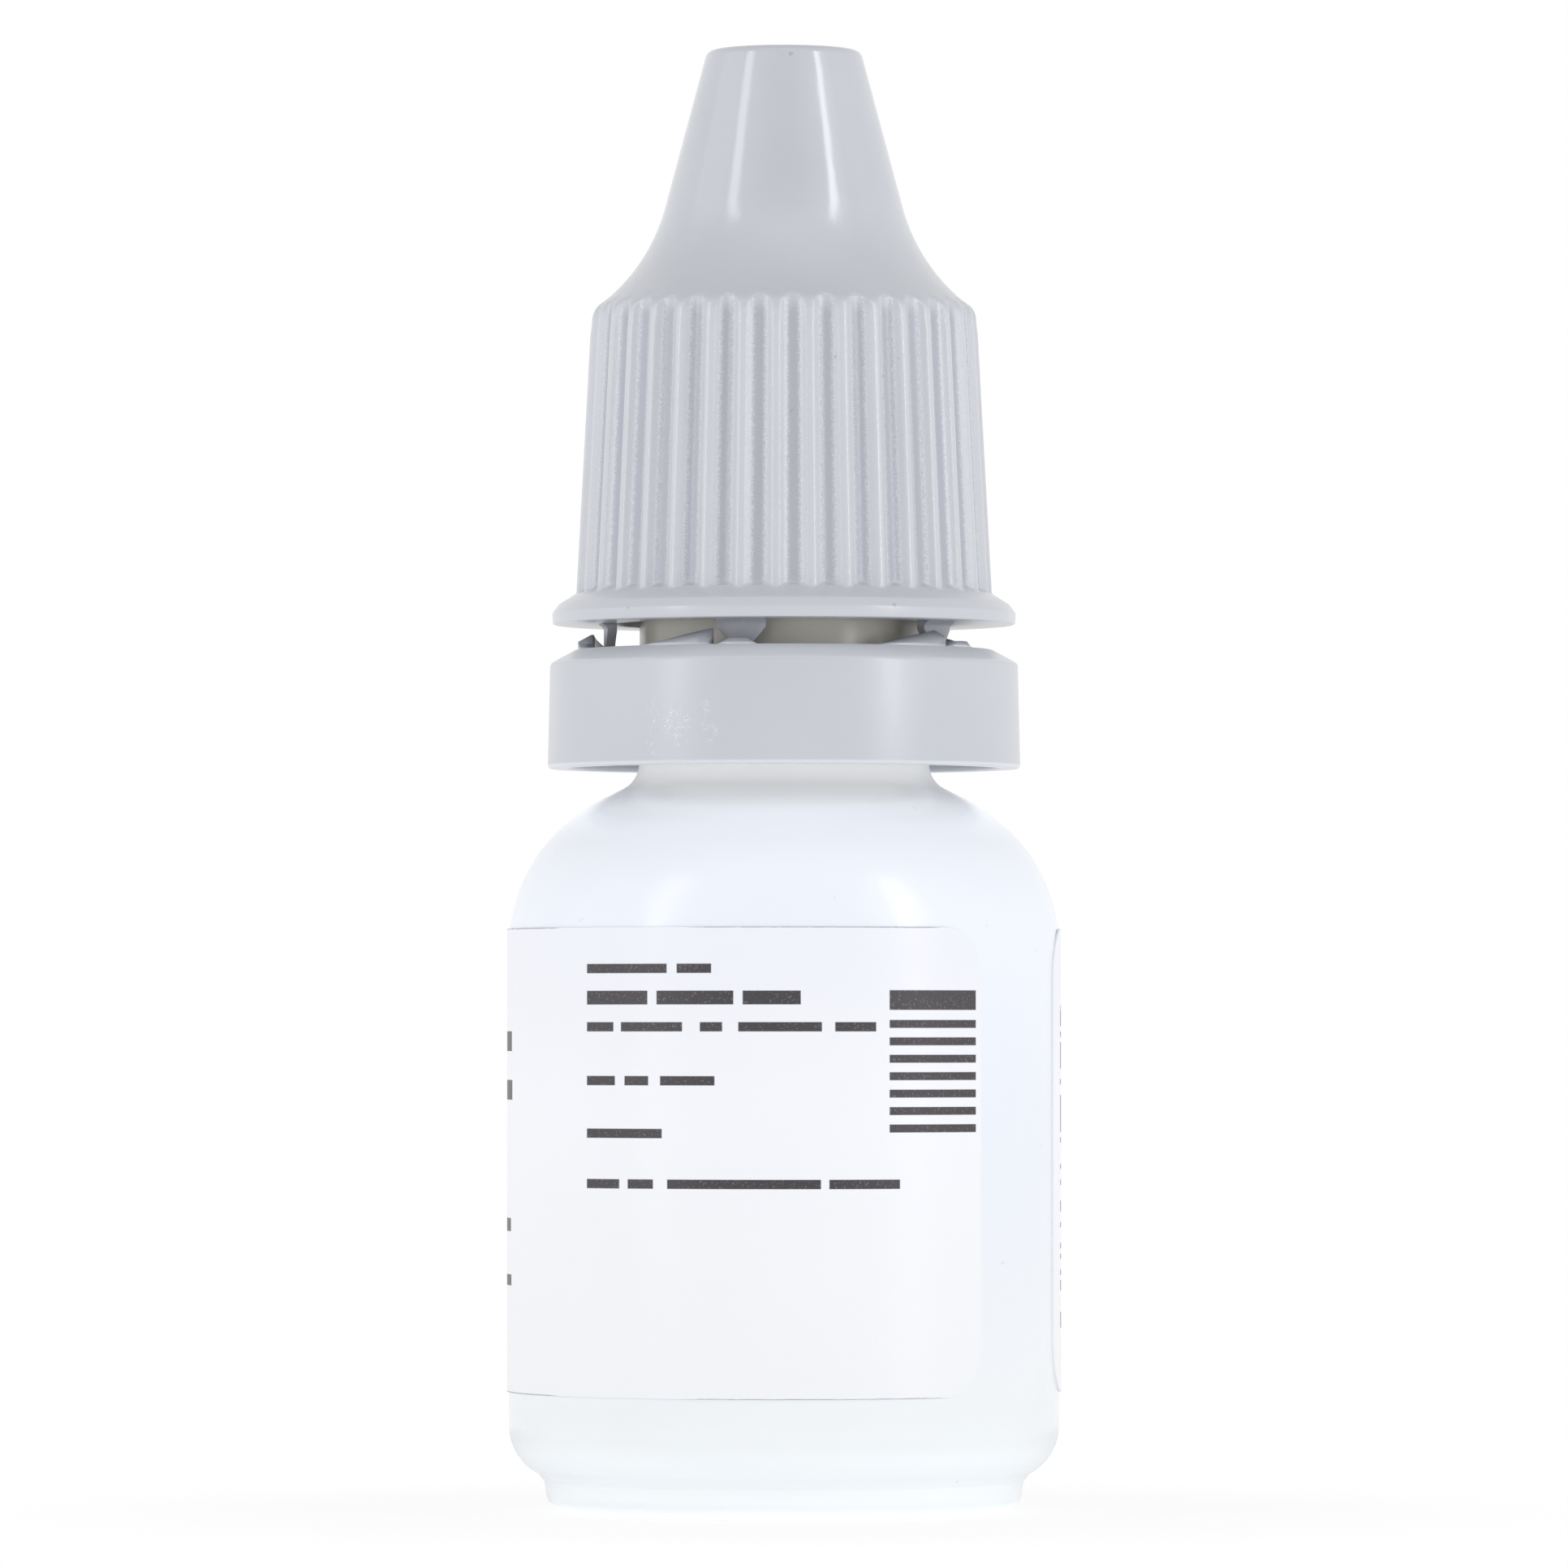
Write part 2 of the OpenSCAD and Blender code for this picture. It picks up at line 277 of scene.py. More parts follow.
def tube_of_sections(sections):
    """A closed solid through equal closed sections, each an array of points in space.

    Sections follow one another with rising angle, and each one's points run
    anticlockwise with r to the right and z up. Both ends are closed by their own face.
    """
    sections = np.asarray(sections)
    rows, columns = sections.shape[:2]
    number = np.arange(rows * columns).reshape(rows, columns)
    outwards = wrapped_quads(number)[:, :, [0, 3, 2, 1]].reshape(-1, 4).tolist()
    return sections.reshape(-1, 3), outwards + [number[0].tolist(), number[-1, ::-1].tolist()]


def joined(parts):
    """One set of points and faces from several."""
    points, faces, start = [], [], 0
    for part_points, part_faces in parts:
        points.append(part_points)
        faces.extend([[start + i for i in face] for face in part_faces])
        start += len(part_points)
    return np.vstack(points), faces


def piece(name, shape, body, node, material, attributes=None, bevel=0.0):
    """Makes a smooth piece in metres, which rides on a body and stands for a CAD node."""
    points, faces = shape
    mesh = bpy.data.meshes.new(name)
    mesh.from_pydata((points * MM).tolist(), [], faces)
    mesh.polygons.foreach_set("use_smooth", np.ones(len(faces), bool))
    for key, numbers in (attributes or {}).items():
        mesh.attributes.new(key, "FLOAT", "POINT").data.foreach_set("value", numbers)
    mesh.materials.append(material)
    mesh.validate()
    made = bpy.data.objects.new(name, mesh)
    bpy.context.scene.collection.objects.link(made)
    if bevel:
        edge = made.modifiers.new("edges", "BEVEL")
        edge.width = bevel * MM
        edge.segments = 2
        edge.limit_method = "ANGLE"
        edge.angle_limit = SHARP_EDGE
        edge.harden_normals = True
    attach(made, body)
    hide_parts(node)


# Shaders.

class Value:
    """A shader value. Each arithmetic operator adds one Math node and gives its result."""

    def __init__(self, nodes, socket):
        self.nodes = nodes
        self.socket = socket

    def __add__(self, other):
        return self.nodes.maths("ADD", self, other)

    def __radd__(self, other):
        return self.nodes.maths("ADD", other, self)

    def __sub__(self, other):
        return self.nodes.maths("SUBTRACT", self, other)

    def __rsub__(self, other):
        return self.nodes.maths("SUBTRACT", other, self)

    def __mul__(self, other):
        return self.nodes.maths("MULTIPLY", self, other)

    def __rmul__(self, other):
        return self.nodes.maths("MULTIPLY", other, self)

    def __truediv__(self, other):
        return self.nodes.maths("DIVIDE", self, other)

    def __neg__(self):
        return self.nodes.maths("MULTIPLY", self, -1)


class Nodes:
    """A node tree, with one method that adds any node."""

    def __init__(self, tree):
        self.tree = tree
        self.tree.nodes.clear()

    def node(self, kind, settings=None, inputs=None, output=0):
        """Adds a node: first its settings, then a value or a link for each named input."""
        made = self.tree.nodes.new(kind)
        for key, value in (settings or {}).items():
            setattr(made, key, value)
        for key, value in (inputs or {}).items():
            if isinstance(value, Value):
                self.tree.links.new(value.socket, made.inputs[key])
            else:
                made.inputs[key].default_value = value
        return Value(self, made.outputs[output]) if len(made.outputs) else None

    def maths(self, operation, *numbers):
        """One Math node on its numbers, in their order."""
        return self.node("ShaderNodeMath", {"operation": operation}, dict(enumerate(numbers)))

    def split(self, vector):
        """A vector's x, y and z, from one node."""
        first = self.node("ShaderNodeSeparateXYZ", None, {0: vector})
        return [Value(self, socket) for socket in first.socket.node.outputs]

    def rise(self, value, start, end, kind="LINEAR"):
        """0 where a value is at start or before it, 1 where it is at end or past it."""
        limits = {"Value": value, "From Min": start, "From Max": end}
        return self.node("ShaderNodeMapRange", {"interpolation_type": kind}, limits)


class Paint(Nodes):
    """One material, with what its patterns often need. Places are in millimetres."""

    def __init__(self, name):
        self.material = bpy.data.materials.new(name)
        self.material.use_nodes = True
        super().__init__(self.material.node_tree)
        place = self.node("ShaderNodeTexCoord", output="Object")
        self.place = self.node("ShaderNodeVectorMath", {"operation": "SCALE"}, {0: place, "Scale": 1 / MM})
        self.x, self.y, self.z = self.split(self.place)

    def angle(self):
        """Degrees from the front, -180 to 180, growing to the viewer's right."""
        return self.maths("ARCTAN2", self.x, -self.y) * (180 / math.pi)

    def above(self, value, edge, soft):
        """0 below an edge and 1 above it, changing over the width soft."""
        return self.rise(value, edge - soft / 2, edge + soft / 2, "SMOOTHSTEP")

    def below(self, value, edge, soft):
        """1 below an edge and 0 above it, changing over the width soft."""
        return 1 - self.above(value, edge, soft)

    def between(self, value, low, high, soft):
        """1 between two limits and 0 outside them, changing over the width soft."""
        return self.above(value, low, soft) * self.below(value, high, soft)

    def noise(self, scale, detail, roughness=0.5, stretch=(1, 1, 1)):
        """Noise about 0.5, with scale in waves per millimetre and a stretch for each axis."""
        place = self.node("ShaderNodeVectorMath", {"operation": "MULTIPLY"}, {0: self.place, 1: stretch})
        return self.node(
            "ShaderNodeTexNoise",
            None,
            {"Vector": place, "Scale": scale, "Detail": detail, "Roughness": roughness},
        )

    def mix(self, factor, first, second):
        """A colour between two."""
        return self.node(
            "ShaderNodeMix", {"data_type": "RGBA"}, {0: factor, 6: first, 7: second}, output=2
        )

    def tinted(self, shade, *tints):
        """A colour with others laid over it in turn, each as far as its own mask says."""
        for mask, tint in tints:
            shade = self.mix(mask, shade, tint)
        return shade

    def bump(self, height, depth, under=None):
        """A normal from a height of 0 to 1 that stands for a depth in millimetres."""
        inputs = {"Height": height, "Distance": depth * MM, "Strength": 1.0}
        if under is not None:
            inputs["Normal"] = under
        return self.node("ShaderNodeBump", None, inputs)

    def finish(self, shade, roughness, normal, others=None):
        """The plastic itself: what varies is linked, and what is the same all over is set."""
        inputs = {"Base Color": shade, "Roughness": roughness, "Normal": normal, **(others or {})}
        shader = self.node("ShaderNodeBsdfPrincipled", None, inputs)
        self.node("ShaderNodeOutputMaterial", None, {"Surface": shader})
        return self.material


def colour(red, green, blue):
    """A linear colour from the 0 to 255 values that it should show."""
    shown = np.array([red, green, blue]) / 255
    linear = np.where(shown <= 0.04045, shown / 12.92, ((shown + 0.055) / 1.055) ** 2.4)
    return (*linear.tolist(), 1.0)


def total(values):
    """Adds up shader values, the first two first."""
    result = values[0]
    for value in values[1:]:
        result = result + value
    return result


CAP_PLASTIC = {"IOR": 1.5, "Specular IOR Level": 0.75}
MILKY_PLASTIC = {"IOR": 1.5}
# A painted glow that the bottle gives off. It stands in for the light that the milky wall passes on, from
# its lit side, into the shade under the ring and at the foot.
PAINTED_GLOW = (0.165, 0.17, 0.185)

# Heights and angles at which a finish changes, and where painted light and shade start and end. A fade is
# its middle and its width.
NOSE_GLOSS_FADE = (58.6, 1.6)
FLANGE_FADE = (42.0, 0.6)
RIB_HEIGHTS = (41.9, 54.4)
WORN_ANGLES = (-35, -16)
WORN_HEIGHTS = (34.2, 36.6)
BODY_FADE = (10.0, 20.0)
NECK_FADE = (32.3, 2.2)
SLIT_HEIGHTS = (36.0, 42.0)
PARTING_HALF = 0.09
PARTING_FADE = (1.6, 0.3)
LABEL_LOW_FADE = (12.0, 18.0)
LABEL_HIGH_FADE = (22.0, 9.0)

# Where the painted glow is seen, by height: it fades in and out under the ring, and at the foot it is the
# sum of two fades, each with its strength, and of the step.
UNDER_RING_IN = (31.3, 2.2)
UNDER_RING_OUT = (34.2, 1.0)
FOOT_FADES = (((3.4, 3.0), 0.3), ((0.3, 0.7), 1.4))
FOOT_STEP_HEIGHTS = (1.6, 3.0)
FOOT_STEP_GLOW = 0.25


def cap_paint():
    """Pale cool grey plastic, glossy on the nose and spark-eroded in the grip grooves, where
    the attribute grip is the share of a groove's depth: 0 on a crest, 1 at the bottom."""
    paint = Paint("cap_grey")
    grip = paint.node("ShaderNodeAttribute", {"attribute_name": "grip"}, output="Fac")
    cloud = paint.noise(0.22, 3.0)
    grain = paint.noise(9.0, 1.0)
    fine = paint.noise(17.0, 1.0)
    skin = paint.noise(0.9, 2.0, stretch=(1, 1, 0.5))
    under_nose = paint.below(paint.z, *NOSE_GLOSS_FADE)
    eroded = paint.maths("MAXIMUM", paint.above(grip, 0.12, 0.12), under_nose * 0.5)
    ribs = paint.between(paint.z, *RIB_HEIGHTS, 0.8)
    bottom = paint.above(grip, 0.82, 0.24)
    frost_and_glint = paint.between(grip, 0.68, 0.92, 0.14) * paint.above(paint.noise(11.0, 1.0), 0.52, 0.25)
    speck = paint.above(paint.noise(1.7, 1.0), 0.8, 0.02)
    shade = paint.tinted(
        paint.mix(cloud, colour(181, 184, 191), colour(190, 193, 200)),
        # The flange is painted lighter as painted light.
        (paint.below(paint.z, *FLANGE_FADE), colour(191, 194, 201)),
        # Painted light and shade on the ribs: crests and walls painted lighter, groove bottoms painted
        # darker where shade falls.
        (ribs * (1 - bottom) * 0.5, colour(202, 204, 210)),
        (ribs * bottom * 0.7, colour(160, 163, 174)),
        # Painted highlight: the eroded groove walls are painted lighter in the band where the lamps'
        # sparkle falls.
        (frost_and_glint * 0.22, colour(240, 242, 248)),
        (speck * 0.3, colour(120, 120, 124)),
    )
    roughness = 0.11 + 0.06 * cloud + eroded * (0.08 + 0.2 * fine)
    normal = paint.bump(skin, 0.012)
    normal = paint.bump(grain * eroded, 0.014, normal)
    return paint.finish(shade, roughness, normal, CAP_PLASTIC)


def ring_paint():
    """The same plastic, smooth, painted lighter on the band's lower edge and its sloping top as painted
    light, painted darker on what stands there as painted shade, and with a few scuffs on the left front,
    along a noise's contours."""
    paint = Paint("ring_grey")
    cloud = paint.noise(0.22, 3.0)
    skin = paint.noise(0.6, 2.0, stretch=(1, 1, 0.35))
    patch = paint.between(paint.angle(), *WORN_ANGLES, 6) * paint.between(paint.z, *WORN_HEIGHTS, 1.0)
    worn = patch * paint.above(paint.noise(0.8, 1.0), 0.54, 0.1)
    scuff = worn * paint.between(paint.noise(3.0, 3.0, 0.6), 0.53, 0.56, 0.03)
    shade = paint.tinted(
        paint.mix(cloud, colour(188, 191, 198), colour(194, 197, 204)),
        (scuff * 0.7, colour(236, 238, 243)),
        # Painted light on the band's lower edge and sloping top, and painted shade on the teeth and stops
        # in the gap under the cap.
        (paint.below(paint.z, RING_Z + 0.16, 0.14), colour(216, 219, 225)),
        (paint.above(paint.z, RING_TOP_Z - 0.6, 0.14), colour(214, 216, 223)),
        (paint.above(paint.z, RING_TOP_Z + 0.07, 0.12) * 0.85, colour(142, 144, 151)),
    )
    roughness = 0.27 + 0.04 * cloud + scuff * 0.1
    normal = paint.bump(skin, 0.015)
    normal = paint.bump(scuff, 0.006, normal)
    return paint.finish(shade, roughness, normal, CAP_PLASTIC)


def bridge_paint():
    """Thin tabs of the same plastic, painted darker as painted shade, since they stand in the shaded gap
    under the cap, with a stretched noise varying the tone.
    """
    paint = Paint("bridge_grey")
    fibre = paint.noise(3.0, 3.0, 0.6, (1, 1, 0.4))
    # The tabs' darker colour is painted shade.
    shade = paint.mix(fibre, colour(150, 152, 158), colour(172, 175, 183))
    return paint.finish(shade, 0.34 + 0.1 * fibre, paint.bump(fibre, 0.02), CAP_PLASTIC)


def bottle_paint():
    """White squeezable plastic with a soft bluish cast, a faint uneven skin and a parting line down both
    sides. It is painted whiter low down and on the neck as painted light, painted warmer and darker in the
    slit under the cap as painted shade, and gives off a faint painted glow where the real wall passes
    light on."""
    paint = Paint("bottle_white")
    cloud = paint.noise(0.12, 3.0)
    skin = paint.noise(0.35, 3.0, stretch=(1, 1, 0.6))
    speck = paint.above(paint.noise(1.1, 1.0), 0.79, 0.02)
    # Painted light whitens the body low down and the shaded neck. Painted shade darkens and warms the neck
    # in the slit under the cap.
    shade = paint.tinted(
        paint.mix(cloud, colour(234, 238, 247), colour(238, 242, 250)),
        (paint.below(paint.z, *BODY_FADE), colour(249, 253, 255)),
        (speck * 0.25, colour(205, 206, 205)),
        (paint.above(paint.z, *NECK_FADE), colour(254, 254, 250)),
        (paint.between(paint.z, *SLIT_HEIGHTS, 2.0), colour(220, 217, 207)),
    )
    parting = paint.between(paint.y, -PARTING_HALF, PARTING_HALF, 0.08)
    parting = parting * paint.above(paint.z, *PARTING_FADE)
    normal = paint.bump(skin, 0.05)
    normal = paint.bump(parting, 0.02, normal)
    # Painted glow under the ring and at the foot, standing in for light passed through the wall.
    under_ring = paint.above(paint.z, *UNDER_RING_IN) * paint.below(paint.z, *UNDER_RING_OUT)
    foot = total([paint.below(paint.z, *fade) * strength for fade, strength in FOOT_FADES])
    foot_step = paint.between(paint.z, *FOOT_STEP_HEIGHTS, 1.0) * FOOT_STEP_GLOW
    share = under_ring + foot + foot_step
    painted_glow = paint.node("ShaderNodeVectorMath", {"operation": "SCALE"}, {0: PAINTED_GLOW, "Scale": share})
    others = {"Emission Color": painted_glow, "Emission Strength": 1.0, **MILKY_PLASTIC}
    return paint.finish(shade, 0.19 + 0.07 * cloud, normal, others)


def dropper_paint():
    """Natural plastic, off-white and faintly clouded."""
    paint = Paint("dropper_natural")
    cloud = paint.noise(0.4, 3.0)
    shade = paint.mix(cloud, colour(236, 238, 236), colour(244, 245, 242))
    return paint.finish(shade, 0.26 + 0.08 * cloud, paint.bump(cloud, 0.02), MILKY_PLASTIC)


# Print on the label, in degrees from the front and millimetres of height. PRINT_EDGE and
# PRINT_SIDE are how softly a bar ends, upwards and sideways.

INK = colour(66, 62, 67)
PRINT_EDGE = 0.05
PRINT_SIDE = 0.25
# Each line is its height, the thickness of its bars, and the start and end of each bar.
PLAIN_LINES = (
    (24.65, 0.42, ((-44.4, -24.5), (-22.3, -14.9))),
    (23.35, 0.62, ((-44.4, -28.9), (-26.8, -10.3), (-8.4, 3.4))),
    (22.05, 0.42, ((-44.4, -37.2), (-35.3, -21.1), (-17.3, -12.6), (-9.3, 7.7), (10.4, 19.0))),
    (19.65, 0.42, ((-44.4, -36.8), (-34.4, -28.7), (-26.0, -14.2))),
    (17.30, 0.42, ((-44.4, -25.6),)),
    (15.05, 0.42, ((-44.4, -35.7), (-33.6, -27.6), (-24.4, 7.5), (9.2, 24.2))),
)
BACK_LINES = (
    (23.2, 0.9, ((-168, -112),)),
    (21.4, 0.9, ((-168, -96), (-92, -78.0))),
    (19.2, 0.9, ((-168, -101), (-97, -77.5))),
    (16.6, 0.42, ((-168, -128), (-125, -98))),
    (13.1, 0.6, ((-168, -140), (-134, -79))),
    (10.6, 0.5, ((-168, -120), (-116, -78.5))),
)
# A ladder of thin rungs under one thick bar.
LADDER_ANGLES = (21.9, 42.9)
LADDER_TOP = 23.68
LADDER_THICK = 0.88
LADDER_THIN = 0.36
LADDER_PITCH = 0.775
LADDER_FIRST = 22.38
LADDER_COUNT = 7
# A column of bars like a code, each module of height dark or bare by chance.
CODE_ANGLES = (84.5, 128.0)
CODE_LOW = 7.95
CODE_HIGH = 23.73
CODE_MODULE = 0.24


def label_paint():
    """White film with plain dark bars where print would be. No bar stands for a letter."""
    paint = Paint("label_white")
    angle = paint.angle()
    height = paint.z
    rows = []
    for line_height, thick, bars in PLAIN_LINES + BACK_LINES:
        row = paint.between(height, line_height - thick / 2, line_height + thick / 2, PRINT_EDGE)
        rows.append(row * total([paint.between(angle, *bar, PRINT_SIDE) for bar in bars]))
    head = paint.between(height, LADDER_TOP - LADDER_THICK, LADDER_TOP, PRINT_EDGE)
    down = (LADDER_FIRST - height) / LADDER_PITCH
    rung = paint.between(paint.maths("FRACT", down), 0.03, 0.03 + LADDER_THIN / LADDER_PITCH, 0.06)
    rungs = rung * paint.between(down, 0, LADDER_COUNT, 0.02)
    ladder = (head + rungs) * paint.between(angle, *LADDER_ANGLES, PRINT_SIDE)
    cell = paint.maths("FLOOR", height / CODE_MODULE)
    chance = paint.node("ShaderNodeTexWhiteNoise", {"noise_dimensions": "1D"}, {"W": cell})
    code = paint.above(chance, 0.5, 0.01) * paint.between(height, CODE_LOW, CODE_HIGH, PRINT_EDGE)
    code = code * paint.between(angle, *CODE_ANGLES, PRINT_SIDE)
    marks = total(rows + [ladder, code])
    pinhole = paint.above(paint.noise(9.0, 2.0, 0.7), 0.62, 0.06)
    cloud = paint.noise(0.15, 3.0)
    skin = paint.noise(0.45, 2.0)
    shade = paint.tinted(
        paint.mix(cloud, colour(242, 244, 250), colour(245, 247, 251)),
        # Painted light lightens the label towards the bottom; the label is also darker towards the top.
        (paint.below(height, *LABEL_LOW_FADE), colour(250, 251, 254)),
        (paint.above(height, *LABEL_HIGH_FADE), colour(236, 238, 245)),
        (marks * (1 - 0.1 * pinhole), INK),
    )
    return paint.finish(shade, 0.3 + 0.06 * cloud + 0.08 * marks, paint.bump(skin, 0.03))


# Pieces.

def ridge(gap):
    """Height of a thread's ridge, 0 to 1, from the distance to its middle line."""
    return smooth_step((RIDGE_ROOT / 2 - np.abs(gap)) / ((RIDGE_ROOT - RIDGE_CREST) / 2))


def thread(angles, height, start_z, start_angle):
    """Height of a right-hand thread, 0 to 1, over a grid of angles and heights.

    The ridge's middle line climbs LEAD in each turn from start_z. Each point looks at every
    turn of it, and the ends of the ridge fade over THREAD_FADE degrees.
    """
    along = (angles - start_angle) % 360
    lift = np.zeros(np.broadcast(angles, height).shape)
    for turn in range(math.ceil(THREAD_TURNS)):
        reach = along + 360 * turn
        fade = smooth_step(np.minimum(reach, 360 * THREAD_TURNS - reach) / THREAD_FADE)
        lift = np.maximum(lift, fade * ridge(height - start_z - LEAD * reach / 360))
    return lift


def on_rows(radius, height, wall_r, low, high):
    """True for the points of a straight wall, from just below its close rows to just above."""
    return (np.abs(radius - wall_r) < 0.01) & (height > low - 0.3) & (height < high + 0.1)


def bottle_shape():
    """The bottle's closed section turned round Z: outside from the axis up to the mouth,
    then the inside down to the axis, with the thread's ridge added to the neck's radius."""
    angles = full_turn(192)
    inner = BODY_R - WALL
    outside = rounded([
        (0, PUNT, 0),
        (FOOT_R - 1.6, 0.35, 1.5),
        (FOOT_R - 0.6, 0, 0.5),
        (FOOT_R, 0, 0),
    ])
    foot = arc(FOOT_R, FOOT_ROUND, FOOT_ROUND, FOOT_ROUND, -86, 0, 10)
    step = rounded([(FOOT_R + FOOT_ROUND, FOOT_ROUND, 0), (10.89, 1.42, 0.25), (11.16, 1.77, 0)])[1:-1]
    corner = arc(BODY_R - CORNER_R, CORNER_Z, CORNER_R, CORNER_R, -63, 0, 14)
    side = np.array([[BODY_R, 10.0], [BODY_R, 18.0]])
    shoulder = arc(BODY_R - SHOULDER_W, SHOULDER_Z, SHOULDER_W, SHOULDER_H, 0, SHOULDER_END, 34)
    neck = rounded([
        (8.171, 32.449, 0),
        (6.6, 33.228, 1.3),
        (NECK_R, BEAD_LOW, 0.1),
        (BEAD_R, BEAD_LOW, 0.12),
        (BEAD_R, BEAD_LOW + 0.5, 0.15),
        (NECK_R, BEAD_HIGH, 0.2),
        (NECK_R, NECK_ROWS_LOW, 0),
        (NECK_R, NECK_ROWS_HIGH, 0),
        (NECK_R, MOUTH_Z, 0.2),
        (BORE_R, MOUTH_Z, 0.2),
        (BORE_R, 33.2, 0.3),
        (6.14, 32.29, 0.3),
    ])[1:]
    neck = finer(neck, NECK_ROW_STEP, NECK_ROWS_LOW, NECK_ROWS_HIGH)
    inside = arc(inner - INNER_SHOULDER_W, SHOULDER_Z, INNER_SHOULDER_W, INNER_SHOULDER_H, 80, 0, 14)
    bottom = arc(inner - CORNER_R, CORNER_Z + 0.4, CORNER_R, CORNER_R, 0, -60, 8)
    floor = rounded([(10.3, 2.1, 0), (8.78, PUNT + WALL, 0.8), (0, PUNT + WALL, 0)])[1:]
    line = np.vstack([outside, foot, step, corner, side, shoulder, neck, inside, bottom, floor])
    radius, height = line[:, :1], line[:, 1:]
    on_neck = on_rows(radius, height, NECK_R, NECK_ROWS_LOW, NECK_ROWS_HIGH)
    lift = thread(angles[None, :], height, NECK_THREAD_Z, 0)
    return around(radius + on_neck * lift * (THREAD_R - NECK_R), height, angles, closed=False)


def dropper_shape():
    """The dropper tip's closed section turned round Z: up the outside, into the mouth,
    through the metering hole and down the inside of the nozzle and plug."""
    throat = TIP_Z - 2.3
    plug = BORE_R - 0.05
    section = rounded([
        (PLUG_BORE_R, PLUG_Z, 0),
        (plug - 0.4, PLUG_Z, 0.15),
        (plug, PLUG_Z + 0.6, 0.2),
        (plug, MOUTH_Z, 0),
        (RIM_FLANGE_R, MOUTH_Z, 0.08),
        (RIM_FLANGE_R, MOUTH_Z + RIM_FLANGE_T, 0.2),
        (NOZZLE_FOOT_R + 0.05, MOUTH_Z + RIM_FLANGE_T, 0.35),
        (TIP_R - 0.02, TIP_Z - 0.5, 0.6),
        (TIP_R - 0.25, TIP_Z, 0.32),
        (0.95, TIP_Z, 0.18),
        (0.9, TIP_Z - 1.5, 0.25),
        (ORIFICE_R, TIP_Z - 1.5, 0.08),
        (ORIFICE_R, throat, 0.1),
        (ORIFICE_R + 0.9, throat - 0.6, 0.4),
        (NOZZLE_FOOT_R - 1, MOUTH_Z + 1.3, 0.8),
        (plug - 1, MOUTH_Z, 0.6),
        (plug - 1, PLUG_Z, 0.15),
        (PLUG_BORE_R, PLUG_Z, 0),
    ])[:-1]
    return around(section[:, :1], section[:, 1:], full_turn(128), closed=True)


def skirt_r(height):
    """Radius of the cap's leaning skirt at a height."""
    return SKIRT_FOOT_R - (height - SKIRT_FOOT_Z) * SKIRT_SLOPE


def nose_r(height):
    """Radius of the cap's straight tapering nose at a height."""
    return NOSE_FOOT_R - (height - NOSE_FOOT_Z) * math.tan(NOSE_LEAN)


def groove_cut(angles, height):
    """How deep the grip grooves cut into the skirt, at each angle and height.

    From groove to crest the line is two arcs that touch: a hollow one and a smaller
    round one. With half a pitch h and a depth d, the arcs turn by 2 x atan(d / h), and
    their radii add up to h / sin(turn). The hollow one has GROOVE_SHARE of that.
    """
    pitch = 360 / RIBS
    off = (angles - RIB_TURN) % pitch - pitch / 2
    half = skirt_r(height) * math.radians(pitch / 2)
    across = np.abs(skirt_r(height) * np.radians(off))
    turn = 2 * np.arctan(GROOVE_DEPTH / half)
    radii = half / np.sin(turn)
    hollow = GROOVE_SHARE * radii
    crest = radii - hollow
    bowl = GROOVE_DEPTH - hollow + np.sqrt(np.maximum(hollow ** 2 - across ** 2, 0))
    top = crest - np.sqrt(np.maximum(crest ** 2 - (half - across) ** 2, 0))
    return np.where(across < hollow * np.sin(turn), bowl, top)


def cap_inside():
    """The cap's inner line: sealing pin, room for the nozzle, seat, bore, flange's edge."""
    line = rounded([
        (0, PIN_Z, 0),
        (PIN_R - 0.25, PIN_Z, 0.1),
        (PIN_R, PIN_Z + 0.35, 0.1),
        (PIN_R, PIN_FOOT_Z, 0.15),
        (2.6, PIN_FOOT_Z, 0.3),
        (4.47, 59.04, 3.0),
        (5.6, 55.25, 1.5),
        (5.7, SEAT_Z, 0.1),
        (CAP_BORE_R, SEAT_Z, 0.2),
        (CAP_BORE_R, CAP_ROWS_HIGH, 0),
        (CAP_BORE_R, CAP_ROWS_LOW, 0),
        (CAP_BORE_R, CAP_Z, 0.08),
        (FLANGE_R - 0.02, CAP_Z, 0.1),
        (FLANGE_R + 0.01, 40.85, 0.12),
        (FLANGE_R - 0.28, FLANGE_EDGE_Z - 0.02, 0.07),
        (FLANGE_R - 0.36, FLANGE_EDGE_Z + 0.0375, 0),
    ])
    return finer(line, CAP_ROW_STEP, CAP_ROWS_LOW, CAP_ROWS_HIGH)


def cap_outside():
    """The cap's outer line without grooves and flange: skirt, its round edge, hollow
    shoulder, nose and crown. Rows stand close together where grooves start and end."""
    cone_z = np.linspace(FLANGE_EDGE_Z + 0.07, 42.36, 14)
    skirt_z = np.concatenate([cone_z, np.linspace(43.0, 53.3, 5), np.linspace(53.5, SKIRT_TOP_Z, 6)])
    skirt = np.column_stack([skirt_r(skirt_z), skirt_z])
    turn = arc(skirt_r(SKIRT_TOP_Z) - SKIRT_EDGE_R, SKIRT_TOP_Z, SKIRT_EDGE_R, SKIRT_EDGE_R, 8, 50, 9)
    hollow_x = NOSE_FOOT_R + HOLLOW_R * math.cos(NOSE_LEAN)
    hollow_z = NOSE_FOOT_Z + HOLLOW_R * math.sin(NOSE_LEAN)
    hollow = finer(arc(hollow_x, hollow_z, HOLLOW_R, HOLLOW_R, 230, 195, 18), 0.1, 54, 55.4)
    nose = np.array([[nose_r(62.0), 62.0], [nose_r(64.0), 64.0]])
    crown = rounded([
        (nose_r(CROWN_Z), CROWN_Z, 0),
        (nose_r(TOTAL_H - 0.06), TOTAL_H - 0.06, 0.45),
        (1.6, TOTAL_H, 0),
        (0, TOTAL_H, 0),
    ])
    return np.vstack([skirt, turn, hollow, nose, crown])


